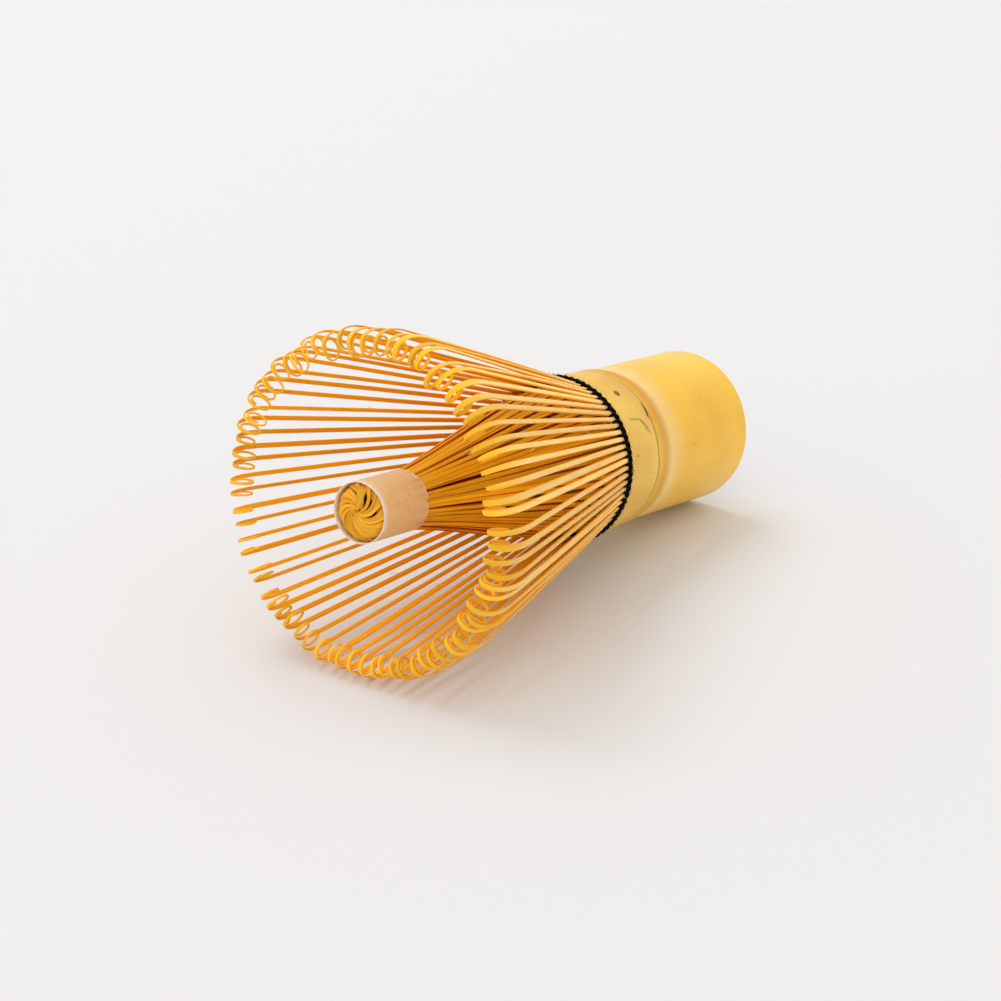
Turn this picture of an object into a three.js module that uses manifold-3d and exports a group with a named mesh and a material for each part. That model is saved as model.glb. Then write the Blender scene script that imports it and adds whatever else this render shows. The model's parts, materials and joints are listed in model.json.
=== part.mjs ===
// Bamboo tea whisk, lying on its side on the rim of its tines and the edge of its foot.
// Units are millimetres and +Z is up. The whisk is built upright in its own frame, with
// z along its axis from the cut foot to the open rim and the x axis towards the floor,
// and the whole whisk is then laid down by one nested group.
import * as THREE from 'three';
import { mergeVertices } from 'three/addons/utils/BufferGeometryUtils.js';
import Module from 'manifold-3d';

const wasm = await Module();
wasm.setup();

// Handle: one length of bamboo culm, cut square at the foot, with its node near the tines.
const FOOT_RADIUS = 13.75;
const FOOT_EDGE = 0.7; // rounding of the foot's outer edge
const BORE_RADIUS = 10.4;
const BORE_EDGE = 0.5; // chamfer at the mouth of the bore
const DIAPHRAGM_FROM = 27.6; // the node's solid wall across the culm
const DIAPHRAGM_TO = 30.2;
const GROOVE_Z = 26.4; // shallow dip before the node's ridge
const GROOVE_RADIUS = 13.55;
const RIDGE_Z = 28.4;
const RIDGE_RADIUS = 14.15;
const SCAR_Z = 30.1; // thin line left by the leaf sheath
const SCAR_RADIUS = 13.85;
const NECK_RADIUS = 14.2;
const NECK_END = 38.8; // the wall is split into tines beyond this
const NECK_BORE_RADIUS = 11.9;

// Tines: the wall is split into 72 outer and 72 inner ones, held in groups of three.
const TINE_COUNT = 72;
const TINES_IN_GROUP = 3;
const GAP = 0.3; // clear space between neighbouring pieces
const TINE_THICKNESS = 0.4;
const TINE_WIDTH = 0.9;
const OUTER_ROOT_RADIUS = 13.9;
const INNER_ROOT_RADIUS = 12.3;
const ROOT_LENGTH = 2.2; // upright stretch of every tine, inside the thread
const ROOT_THICKNESS = 0.5; // of the unsplit wall that holds a group together
const ROOT_BITE = 0.8; // how far a tine reaches into the piece that holds it

// An outer tine flares straight, bends in at its shoulder and ends in a round curl.
const FLARE = THREE.MathUtils.degToRad(16.5);
const LEAN = THREE.MathUtils.degToRad(1.5); // the side that is lain on is pressed in
const FLARE_LENGTH = 50.2;
const SHOULDER_RADIUS = 6;
const SHOULDER_SWEEP = THREE.MathUtils.degToRad(56);
const CURL_RADIUS = 1.8;
const CURL_SWEEP = THREE.MathUtils.degToRad(280);

// Inner tines narrow to a cone, and their tips are gathered in the sleeve.
const INNER_WIDTH = 0.75;
const INNER_TIP_WIDTH = 0.25;
const BUNDLE_RADIUS = 4.3;
const BUNDLE_CORE = 1.8;
const BUNDLE_FROM = 85.2;
const BUNDLE_TO = 94.9;
const BUNDLE_SHIFT = new THREE.Vector2(-0.6, -0.2); // the tips sit a little off the axis

// Sleeve: a short tube of clear film pushed over the gathered tips.
const SLEEVE_RADIUS = 5.1;
const SLEEVE_WALL = 0.45;
const SLEEVE_FROM = 84.7;
const SLEEVE_TO = 96.2;

// Thread: cotton wound around the outer tines and between them and the inner ones.
const THREAD_Z = 40.3;
const OUTER_THREAD_DIAMETER = 0.7;
const INNER_THREAD_DIAMETER = 0.6;
const OUTER_THREAD_RADIUS = OUTER_ROOT_RADIUS + (ROOT_THICKNESS + OUTER_THREAD_DIAMETER) / 2 + GAP;
const INNER_THREAD_RADIUS = (OUTER_ROOT_RADIUS + INNER_ROOT_RADIUS) / 2;

const HANDLE_SIDES = 40;
const SLEEVE_SIDES = 32;
const THREAD_STEPS = 48;
const THREAD_SIDES = 6;

const PITCH = (2 * Math.PI) / TINE_COUNT;
const GROUP_COUNT = TINE_COUNT / TINES_IN_GROUP;
const ROOT_FROM = NECK_END + GAP;
const ROOT_TO = ROOT_FROM + ROOT_LENGTH;

const bambooSkin = () => new THREE.MeshStandardMaterial({ color: 0xe8c15a, roughness: 0.42, metalness: 0 });
const bambooTine = () => new THREE.MeshStandardMaterial({ color: 0xf2b64a, roughness: 0.55, metalness: 0 });
const bambooFlesh = () => new THREE.MeshStandardMaterial({ color: 0xd98a1c, roughness: 0.6, metalness: 0 });
const cottonThread = () => new THREE.MeshStandardMaterial({ color: 0x0b0a0a, roughness: 0.9, metalness: 0 });
const frostedFilm = () => new THREE.MeshStandardMaterial({ color: 0xf3d3b0, roughness: 0.35, metalness: 0 });

// A closed geometry as a solid for joining, and a joined solid back as a geometry.
function toSolid(geometry) {
  geometry.deleteAttribute('normal');
  geometry.deleteAttribute('uv');
  const welded = mergeVertices(geometry, 1e-4);
  return new wasm.Manifold(new wasm.Mesh({
    numProp: 3,
    vertProperties: welded.attributes.position.array,
    triVerts: Uint32Array.from(welded.index.array),
  }));
}

function toGeometry(solid) {
  const { vertProperties, triVerts } = solid.getMesh();
  const geometry = new THREE.BufferGeometry();
  geometry.setAttribute('position', new THREE.BufferAttribute(vertProperties, 3));
  geometry.setIndex(new THREE.BufferAttribute(triVerts, 1));
  geometry.computeVertexNormals();
  return geometry;
}

function joined(geometries) {
  return toGeometry(geometries.map(toSolid).reduce((whole, piece) => whole.add(piece)));
}

// A profile of [radius, z] pairs turned about the z axis. The half step puts a flat, not
// a corner, towards the floor.
function turned(profile, sides) {
  const points = profile.map(([radius, z]) => new THREE.Vector2(radius, z));
  const geometry = new THREE.LatheGeometry(points, sides, Math.PI / sides);
  geometry.rotateX(Math.PI / 2);
  return geometry;
}

function handleGeometry() {
  const outside = [
    [FOOT_RADIUS - FOOT_EDGE, 0],
    [FOOT_RADIUS - 0.3 * FOOT_EDGE, 0.3 * FOOT_EDGE],
    [FOOT_RADIUS, FOOT_EDGE],
    [FOOT_RADIUS, GROOVE_Z - 3],
    [GROOVE_RADIUS, GROOVE_Z],
    [RIDGE_RADIUS, RIDGE_Z],
    [RIDGE_RADIUS, SCAR_Z - 0.5],
    [SCAR_RADIUS, SCAR_Z],
    [NECK_RADIUS, SCAR_Z + 1],
    [NECK_RADIUS, NECK_END],
  ];
  const neckBore = [
    [NECK_BORE_RADIUS, NECK_END],
    [NECK_BORE_RADIUS, DIAPHRAGM_TO],
    [0, DIAPHRAGM_TO],
  ];
  const footBore = [
    [0, DIAPHRAGM_FROM],
    [BORE_RADIUS, DIAPHRAGM_FROM],
    [BORE_RADIUS, BORE_EDGE],
    [BORE_RADIUS + BORE_EDGE, 0],
  ];
  // From the foot's bore over the foot and up the outside, and back down to the diaphragm.
  return turned([...footBore, ...outside, ...neckBore], HANDLE_SIDES);
}

// The middle line of an outer tine in its own radial plane: points with the heading at
// each, measured from the z axis towards the axis of the whisk.
function tineLine(flare) {
  const line = [];
  let radius = OUTER_ROOT_RADIUS;
  let z = ROOT_TO - ROOT_BITE;
  let heading = 0;
  const mark = () => line.push({ radius, z, heading });
  const straight = (length) => {
    radius -= length * Math.sin(heading);
    z += length * Math.cos(heading);
    mark();
  };
  const bend = (bendRadius, sweep, steps) => {
    const turn = sweep / steps;
    for (let step = 0; step < steps; step += 1) {
      const chord = 2 * bendRadius * Math.sin(turn / 2);
      radius -= chord * Math.sin(heading + turn / 2);
      z += chord * Math.cos(heading + turn / 2);
      heading += turn;
      mark();
    }
  };
  mark();
  straight(ROOT_BITE);
  heading = -flare;
  straight(FLARE_LENGTH);
  bend(SHOULDER_RADIUS, SHOULDER_SWEEP, 3);
  bend(CURL_RADIUS, CURL_SWEEP, 6);
  return line;
}

// A strip seen from its side, as thick as a tine, closed all round.
function stripOutline(line, thickness) {
  const side = (sign) => line.map(({ radius, z, heading }) => new THREE.Vector2(
    radius + (sign * thickness * Math.cos(heading)) / 2,
    z + (sign * thickness * Math.sin(heading)) / 2,
  ));
  return new THREE.Shape([...side(1), ...side(-1).reverse()]);
}

// A side outline given its width across the whisk's radius, before it is turned to its place.
function strip(outline, width) {
  const geometry = new THREE.ExtrudeGeometry(outline, { depth: width, bevelEnabled: false });
  geometry.translate(0, 0, -width / 2);
  geometry.rotateX(Math.PI / 2);
  return geometry;
}

// The unsplit stretch of wall that holds the tines of one group at their roots.
function rootBlock(radius, width) {
  const inside = radius - ROOT_THICKNESS / 2;
  const outside = radius + ROOT_THICKNESS / 2;
  const half = ((TINES_IN_GROUP - 1) * PITCH) / 2 + Math.asin(width / 2 / radius);
  const shape = new THREE.Shape();
  shape.absarc(0, 0, outside, -half, half, false);
  shape.absarc(0, 0, inside, half, -half, true);
  const geometry = new THREE.ExtrudeGeometry(shape, { depth: ROOT_LENGTH, bevelEnabled: false, curveSegments: 2 });
  geometry.translate(0, 0, ROOT_FROM);
  return geometry;
}

// Angles of a group's tines from the group's own middle.
const tineOffsets = Array.from(
  { length: TINES_IN_GROUP },
  (unused, index) => (index - (TINES_IN_GROUP - 1) / 2) * PITCH,
);

const groupAngle = (group) => (group + 0.5) * TINES_IN_GROUP * PITCH;

function outerGroupGeometry(group) {
  const tines = tineOffsets.map((offset) => {
    const flare = FLARE - LEAN * Math.cos(groupAngle(group) + offset);
    const tine = strip(stripOutline(tineLine(flare), TINE_THICKNESS), TINE_WIDTH);
    tine.rotateZ(offset);
    return tine;
  });
  const geometry = joined([rootBlock(OUTER_ROOT_RADIUS, TINE_WIDTH), ...tines]);
  geometry.rotateZ(groupAngle(group));
  return geometry;
}

// One inner tine: upright at its root, then straight to the bundle, and narrower all the way.
function innerTine() {
  const line = [
    { radius: INNER_ROOT_RADIUS, z: ROOT_TO - ROOT_BITE, heading: 0 },
    { radius: INNER_ROOT_RADIUS, z: ROOT_TO, heading: 0 },
    { radius: BUNDLE_RADIUS - TINE_THICKNESS, z: BUNDLE_FROM + ROOT_BITE, heading: 0 },
  ];
  const geometry = strip(stripOutline(line, TINE_THICKNESS), 1);
  const place = geometry.attributes.position;
  for (let index = 0; index < place.count; index += 1) {
    const along = THREE.MathUtils.clamp((place.getZ(index) - ROOT_TO) / (BUNDLE_FROM - ROOT_TO), 0, 1);
    place.setY(index, place.getY(index) * THREE.MathUtils.lerp(INNER_WIDTH, INNER_TIP_WIDTH, along));
  }
  return geometry;
}

// The tips of one group, pressed together into a wedge of the round bundle.
function tipWedge() {
  const half = (TINES_IN_GROUP * PITCH) / 2;
  const corner = (radius, sign) => new THREE.Vector2(
    radius * Math.cos(half),
    sign * (radius * Math.sin(half) - GAP / 2),
  );
  const shape = new THREE.Shape([
    corner(BUNDLE_CORE, -1),
    corner(BUNDLE_RADIUS, -1),
    corner(BUNDLE_RADIUS, 1),
    corner(BUNDLE_CORE, 1),
  ]);
  const geometry = new THREE.ExtrudeGeometry(shape, { depth: BUNDLE_TO - BUNDLE_FROM, bevelEnabled: false });
  geometry.translate(0, 0, BUNDLE_FROM);
  return geometry;
}

// Moves the bundle sideways, and the tines below it by less the nearer they are to their roots.
function shiftTips(geometry) {
  const place = geometry.attributes.position;
  for (let index = 0; index < place.count; index += 1) {
    const share = THREE.MathUtils.clamp((place.getZ(index) - ROOT_TO) / (BUNDLE_FROM - ROOT_TO), 0, 1);
    place.setX(index, place.getX(index) + share * BUNDLE_SHIFT.x);
    place.setY(index, place.getY(index) + share * BUNDLE_SHIFT.y);
  }
}

function innerGroupGeometry(group) {
  const tines = tineOffsets.map((offset) => {
    const tine = innerTine();
    tine.rotateZ(offset);
    return tine;
  });
  const geometry = joined([rootBlock(INNER_ROOT_RADIUS, INNER_WIDTH), tipWedge(), ...tines]);
  geometry.rotateZ(groupAngle(group));
  shiftTips(geometry);
  return geometry;
}

function threadGeometry(radius, diameter) {
  const section = Array.from({ length: THREAD_SIDES + 1 }, (unused, side) => {
    const angle = (2 * Math.PI * side) / THREAD_SIDES;
    return [radius + (Math.cos(angle) * diameter) / 2, THREAD_Z + (Math.sin(angle) * diameter) / 2];
  });
  return turned(section, THREAD_STEPS);
}

function sleeveGeometry() {
  const inside = SLEEVE_RADIUS - SLEEVE_WALL;
  return turned([
    [inside, SLEEVE_FROM],
    [SLEEVE_RADIUS, SLEEVE_FROM],
    [SLEEVE_RADIUS, SLEEVE_TO],
    [inside, SLEEVE_TO],
    [inside, SLEEVE_FROM],
  ], SLEEVE_SIDES);
}

function node(name, geometry, material) {
  const mesh = new THREE.Mesh(geometry, material);
  mesh.name = name;
  return mesh;
}

// The axis rises towards the rim, so that the lowest tines and the foot's edge share a floor.
function restTilt() {
  const lowest = stripOutline(tineLine(FLARE - LEAN), TINE_THICKNESS).getPoints();
  return Math.max(...lowest.map(({ x: radius, y: z }) => Math.atan2(radius - FOOT_RADIUS, z - FOOT_EDGE)));
}

const whisk = new THREE.Group();
whisk.add(node('handle', handleGeometry(), bambooSkin()));
for (let group = 0; group < GROUP_COUNT; group += 1) {
  const number = String(group + 1).padStart(2, '0');
  whisk.add(node(`outer_tines_${number}`, outerGroupGeometry(group), bambooTine()));
  whisk.add(node(`inner_tines_${number}`, innerGroupGeometry(group), bambooFlesh()));
}
whisk.add(node('thread_outer_round', threadGeometry(OUTER_THREAD_RADIUS, OUTER_THREAD_DIAMETER), cottonThread()));
whisk.add(node('thread_inner_round', threadGeometry(INNER_THREAD_RADIUS, INNER_THREAD_DIAMETER), cottonThread()));
const sleeve = node('tip_sleeve', sleeveGeometry(), frostedFilm());
sleeve.position.set(BUNDLE_SHIFT.x, BUNDLE_SHIFT.y, 0);
whisk.add(sleeve);
whisk.rotation.y = Math.PI / 2 - restTilt();

// The origin is the middle of the whisk's footprint, on the floor.
const part = new THREE.Group();
part.add(whisk);
part.updateMatrixWorld(true);
const extent = new THREE.Box3().setFromObject(part, true);
const middle = extent.getCenter(new THREE.Vector3());
whisk.position.set(-middle.x, -middle.y, -extent.min.z);

export default part;
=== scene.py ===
import json
import math
from functools import partial

import bmesh
import bpy
from mathutils import Matrix, Vector, noise


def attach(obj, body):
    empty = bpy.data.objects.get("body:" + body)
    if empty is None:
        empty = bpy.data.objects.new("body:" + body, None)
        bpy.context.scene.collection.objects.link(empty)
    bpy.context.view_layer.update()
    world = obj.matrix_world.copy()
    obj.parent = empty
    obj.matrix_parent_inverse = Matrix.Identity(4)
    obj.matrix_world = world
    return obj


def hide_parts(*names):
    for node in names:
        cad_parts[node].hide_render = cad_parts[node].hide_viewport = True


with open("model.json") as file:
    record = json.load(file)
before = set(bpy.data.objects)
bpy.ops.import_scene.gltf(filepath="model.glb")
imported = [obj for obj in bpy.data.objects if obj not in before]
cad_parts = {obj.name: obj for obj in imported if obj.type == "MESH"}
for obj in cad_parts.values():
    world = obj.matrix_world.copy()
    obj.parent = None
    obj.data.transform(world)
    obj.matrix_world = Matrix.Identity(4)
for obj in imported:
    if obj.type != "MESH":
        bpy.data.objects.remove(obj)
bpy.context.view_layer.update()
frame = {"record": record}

scene = bpy.context.scene

MM = 0.001
DEGREE = math.pi / 180

# ---------------------------------------------------------------------------
# The whisk's own frame: +Z runs up the culm from the cut foot, in metres, and
# angles round it start at the row's +Y.
# ---------------------------------------------------------------------------

record = frame["record"]
axis = Vector(record["behaviour"]["joints"][0]["axis"]).normalized()
sideways = Vector((0, 1, 0))
upwards = axis.cross(sideways)
FOOT_MARK = 12 * MM  # how far to the side of the axis the foot's mount point is
foot_centre = Vector(record["mounts"][0]["pos_m"]) - FOOT_MARK * sideways
TO_ROW = Matrix((sideways, upwards, axis)).transposed().to_4x4()
TO_ROW.translation = foot_centre

# Culm
CULM_RADIUS = 13.75 * MM
NECK_RADIUS = 14.2 * MM
NECK_TOP = 39.9 * MM
RING_HEIGHT = 28.3 * MM  # the swelling of the node
SCAR_HEIGHT = 29.75 * MM  # where the sheath grew, just above it
THREAD_HEIGHT = 40.45 * MM

# Tines
TINES = 72
RIM_FLARE = 16.4 * DEGREE
ROOT_HEIGHT = 38.8 * MM  # where the strips leave the neck

# Sleeve
SLEEVE_START = 84.7 * MM
SLEEVE_END = 96.3 * MM
SLEEVE_RADIUS = 5.05 * MM
SLEEVE_WALL = 0.16 * MM
BUNDLE_SHIFT = Vector((-0.2 * MM, 0.6 * MM, 0))


# ---------------------------------------------------------------------------
# Nodes and meshes
# ---------------------------------------------------------------------------

def add(tree, kind, *values, named=None, **settings):
    """Adds a node with its settings, then its inputs, in order or by name: a plain value, or what feeds it.

    `kind` is a node's type, or its type and the setting that goes with it. An input that is None is left
    alone.
    """
    kind, *preset = (kind,) if isinstance(kind, str) else kind
    node = tree.nodes.new(kind)
    for setting, value in (*preset, *settings.items()):
        setattr(node, setting, value)
    shown = [socket for socket in node.inputs if socket.enabled]
    pairs = [(shown[i], value) for i, value in enumerate(values)]
    pairs += [(next(s for s in shown if s.name == name), value) for name, value in (named or {}).items()]
    for socket, value in pairs:
        if isinstance(value, bpy.types.Node):
            value = next(s for s in value.outputs if s.enabled)
        if isinstance(value, bpy.types.NodeSocket):
            tree.links.new(value, socket)
        elif value is not None:
            socket.default_value = value
    return node


PLUS, MINUS, TIMES, OVER, TIMES_PLUS, COSINE, SINE, ARCTAN2, POWER, FLOOR, MODULO, ABSOLUTE, LARGER, ABOVE, \
    BELOW, NEAR = [("ShaderNodeMath", ("operation", name)) for name in (
        "ADD", "SUBTRACT", "MULTIPLY", "DIVIDE", "MULTIPLY_ADD", "COSINE", "SINE", "ARCTAN2", "POWER",
        "FLOOR", "MODULO", "ABSOLUTE", "MAXIMUM", "GREATER_THAN", "LESS_THAN", "COMPARE")]
V_PLUS, V_MINUS, V_TIMES, V_SCALE, V_CROSS, V_UNIT, V_LENGTH = [
    ("ShaderNodeVectorMath", ("operation", name)) for name in (
        "ADD", "SUBTRACT", "MULTIPLY", "SCALE", "CROSS_PRODUCT", "NORMALIZE", "LENGTH")]
RANGE = "ShaderNodeMapRange"
SMOOTH_RANGE = (RANGE, ("interpolation_type", "SMOOTHSTEP"))
COMBINE = "ShaderNodeCombineXYZ"
SEPARATE = "ShaderNodeSeparateXYZ"
NOISE = "ShaderNodeTexNoise"
MIX = "ShaderNodeMix"
MIX_COLOUR, MIX_VECTOR = [(MIX, ("data_type", name)) for name in ("RGBA", "VECTOR")]
STORE = "GeometryNodeStoreNamedAttribute"
STORE_NUMBER, STORE_VECTOR = [(STORE, ("data_type", name)) for name in ("FLOAT", "FLOAT_VECTOR")]
RECALL_NUMBER, RECALL_VECTOR = [
    ("GeometryNodeInputNamedAttribute", ("data_type", name)) for name in ("FLOAT", "FLOAT_VECTOR")]
DRAW_NUMBER, DRAW_VECTOR = [
    ("FunctionNodeRandomValue", ("data_type", name)) for name in ("FLOAT", "FLOAT_VECTOR")]


def geometry_tree(name, sizes):
    """A tree with a named input for each size, and what those inputs give inside it."""
    tree = bpy.data.node_groups.new(name, "GeometryNodeTree")
    kinds = {int: "NodeSocketInt", float: "NodeSocketFloat"}
    for label, size in sizes.items():
        socket = tree.interface.new_socket(label, in_out="INPUT", socket_type=kinds[type(size)])
        socket.default_value = size
    tree.interface.new_socket("Material", in_out="INPUT", socket_type="NodeSocketMaterial")
    tree.interface.new_socket("Geometry", in_out="OUTPUT", socket_type="NodeSocketGeometry")
    given = tree.nodes.new("NodeGroupInput").outputs
    return tree, given


def finish_tree(tree, parts, material):
    """Ends a tree: its parts joined, instances made real, spare attributes dropped and the material set."""
    node = partial(add, tree)
    joined = node("GeometryNodeJoinGeometry")
    for part in parts:
        tree.links.new(part.outputs[0], joined.inputs[0])
    real = node("GeometryNodeRealizeInstances", joined)
    for name in ("spot", "outward", "tilt", "width", "thickness", "wide", "deep", "course", "travelled",
                 "section"):
        real = node("GeometryNodeRemoveAttribute", real, named={"Name": name})
    finished = node("GeometryNodeSetMaterial", real, named={"Material": material})
    node("NodeGroupOutput", finished)


def grow(name, tree, material):
    """Runs a tree once and keeps its result as a plain mesh, placed in the row's frame."""
    holder = bpy.data.objects.new(name + "_grower", bpy.data.meshes.new(name + "_seed"))
    scene.collection.objects.link(holder)
    modifier = holder.modifiers.new("grow", "NODES")
    modifier.node_group = tree
    for item in tree.interface.items_tree:
        if item.in_out == "INPUT":
            modifier[item.identifier] = material if item.name == "Material" else item.default_value
    depsgraph = bpy.context.evaluated_depsgraph_get()
    mesh = bpy.data.meshes.new_from_object(holder.evaluated_get(depsgraph), depsgraph=depsgraph)
    holder.modifiers.remove(modifier)
    bpy.data.objects.remove(holder)
    return placed(name, mesh, material)


def placed(name, mesh, material):
    """A piece from a mesh in the whisk's own frame: its object stays at the origin."""
    mesh.name = name
    mesh.transform(TO_ROW)
    if not mesh.materials:
        mesh.materials.append(material)
    piece = bpy.data.objects.new(name, mesh)
    scene.collection.objects.link(piece)
    return piece


def lathe(name, outline, sides, material, shift, closed):
    """Turns an outline of (radius, height, zone) points round the axis; `zone` becomes an attribute."""
    rings = len(outline)
    vertices, faces = [], []
    for k in range(sides):
        turn = 2 * math.pi * k / sides
        for radius, height, _ in outline:
            vertices.append(shift(Vector((radius * math.cos(turn), radius * math.sin(turn), height))))
    for k in range(sides):
        for i in range(rings if closed else rings - 1):
            j, following = (i + 1) % rings, (k + 1) % sides
            faces.append((k * rings + i, following * rings + i, following * rings + j, k * rings + j))
    mesh = bpy.data.meshes.new(name)
    mesh.from_pydata(vertices, [], faces)
    zones = mesh.attributes.new("zone", "FLOAT", "POINT")
    for k, value in enumerate(zones.data):
        value.value = outline[k % rings][2]
    form = bmesh.new()
    form.from_mesh(mesh)
    bmesh.ops.remove_doubles(form, verts=form.verts, dist=0.001 * MM)
    bmesh.ops.recalc_face_normals(form, faces=form.faces)
    for face in form.faces:
        face.smooth = True
    form.to_mesh(mesh)
    form.free()
    mesh.set_sharp_from_angle(angle=40 * DEGREE)
    return placed(name, mesh, material)


# ---------------------------------------------------------------------------
# Materials
# ---------------------------------------------------------------------------

def colour(code):
    """An sRGB hex colour as linear RGBA."""
    channels = [int(code[i:i + 2], 16) / 255 for i in (1, 3, 5)]
    return (*[c / 12.92 if c <= 0.04045 else ((c + 0.055) / 1.055) ** 2.4 for c in channels], 1)


def new_material(name):
    """An empty node material with a Principled shader, and that shader."""
    material = bpy.data.materials.new(name)
    material.use_nodes = True
    tree = material.node_tree
    tree.nodes.clear()
    shader = tree.nodes.new("ShaderNodeBsdfPrincipled")
    add(tree, "ShaderNodeOutputMaterial", shader)
    return material, tree, shader


def dress(tree, shader, **inputs):
    """Sets or links a shader's sockets; underscores stand for the spaces in their names."""
    for name, value in inputs.items():
        socket = shader.inputs[name.replace("_", " ")]
        if isinstance(value, bpy.types.Node):
            value = next(s for s in value.outputs if s.enabled)
        if isinstance(value, bpy.types.NodeSocket):
            tree.links.new(value, socket)
        else:
            socket.default_value = value


def tine_bamboo(name, rind, curled, flesh_and_painted_shade, deep, glow, darkest):
    """Split and shaved bamboo: a pale rind outside and amber flesh elsewhere, each partly its own colour and
    partly painted light (a painted lit outer face, painted shade on the sides and inner face), and fibres
    all along it.
    """
    material, tree, shader = new_material(name)
    node = partial(add, tree)
    grain = node("ShaderNodeAttribute", attribute_name="grain").outputs["Vector"]
    facing = node("ShaderNodeAttribute", attribute_name="rind").outputs["Fac"]
    tine = node("ShaderNodeAttribute", attribute_name="tine").outputs["Fac"]
    along = node("ShaderNodeAttribute", attribute_name="along").outputs["Fac"]
    # Fibre bundles along the strip. Real ones are 0.12 mm across; these are 0.2 mm, as fine as shows.
    stretched = node(V_TIMES, grain, (5000.0, 5000.0, 120.0))
    fibres = node(NOISE, named={"Vector": stretched, "Scale": 1.0, "Detail": 3.0, "Roughness": 0.6})
    # Slow patches along each strip where more of the rind was scraped away, 6 mm long.
    patches = node(V_TIMES, grain, (300.0, 300.0, 160.0))
    scraped = node(NOISE, named={"Vector": patches, "Scale": 1.0, "Detail": 2.0})
    worn = node(MINUS, scraped, 0.5)
    # The outer face is paler than the sides and inner face: partly the rind's own colour, partly painted
    # light, a painted lit face outward and painted shade on the sides and inside.
    skin = node(TIMES_PLUS, worn, 0.8, facing)
    skin = node(RANGE, skin, 0.2, 0.85, 0.0, 1.0)
    # The rolled end was shaved thinnest and turns gold on every face: there the paler outer face and darker
    # sides, partly painted light, give way.
    shaved = node(RANGE, along, 0.70, 0.82, 0.0, 1.0)
    outside = node(MIX_COLOUR, shaved, colour(rind), colour(curled))
    inside = node(MIX_COLOUR, shaved, colour(flesh_and_painted_shade), colour(curled))
    base = node(MIX_COLOUR, skin, inside, outside)
    streak = node(RANGE, fibres, 0.4, 0.72, 0.0, 0.34)
    streaked = node(MIX_COLOUR, streak, base, colour(deep))
    shade = node(RANGE, tine, -1.0, 1.0, darkest, 1.14)
    tinted = node("ShaderNodeHueSaturation", named={"Value": shade, "Color": streaked})
    bump = node("ShaderNodeBump", named={"Strength": 0.25, "Distance": 0.06 * MM, "Height": fibres})
    sheen = node(RANGE, fibres, 0.3, 0.7, 0.45, 0.6)
    dress(tree, shader, Base_Color=tinted, Roughness=sheen, Normal=bump, IOR=1.45, Specular_IOR_Level=0.12,
          Subsurface_Weight=glow, Subsurface_Radius=(1.0, 0.75, 0.1), Subsurface_Scale=0.6 * MM)
    return material


# Scraped bamboo strips: satin, with the pale rind outside and amber flesh behind it, partly painted light (a
# painted lit outer face, painted shade on the sides); thin enough to glow.
OUTER_BAMBOO = tine_bamboo(
    "scraped_bamboo_outer_tines", "#FFD98A", "#FFC433", "#FBAE18", "#E08604", glow=0.1, darkest=0.86)
# The inner strips have lost their rind; their sides and inner faces are a much darker amber, painted shade
# in the gaps between the strips, with a deeper fibre.
INNER_BAMBOO = tine_bamboo(
    "split_bamboo_inner_tines", "#FFB80E", "#FFBC34", "#C85E00", "#943C00", glow=0.04, darkest=0.72)


def whisk_coordinates(tree):
    """Object coordinates turned so that Z runs up the culm, from the foot."""
    node = partial(add, tree)
    local = node("ShaderNodeMapping", node("ShaderNodeTexCoord").outputs["Object"], vector_type="TEXTURE")
    local.inputs["Location"].default_value = foot_centre
    local.inputs["Rotation"].default_value = TO_ROW.to_euler("XYZ")
    return local


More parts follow.
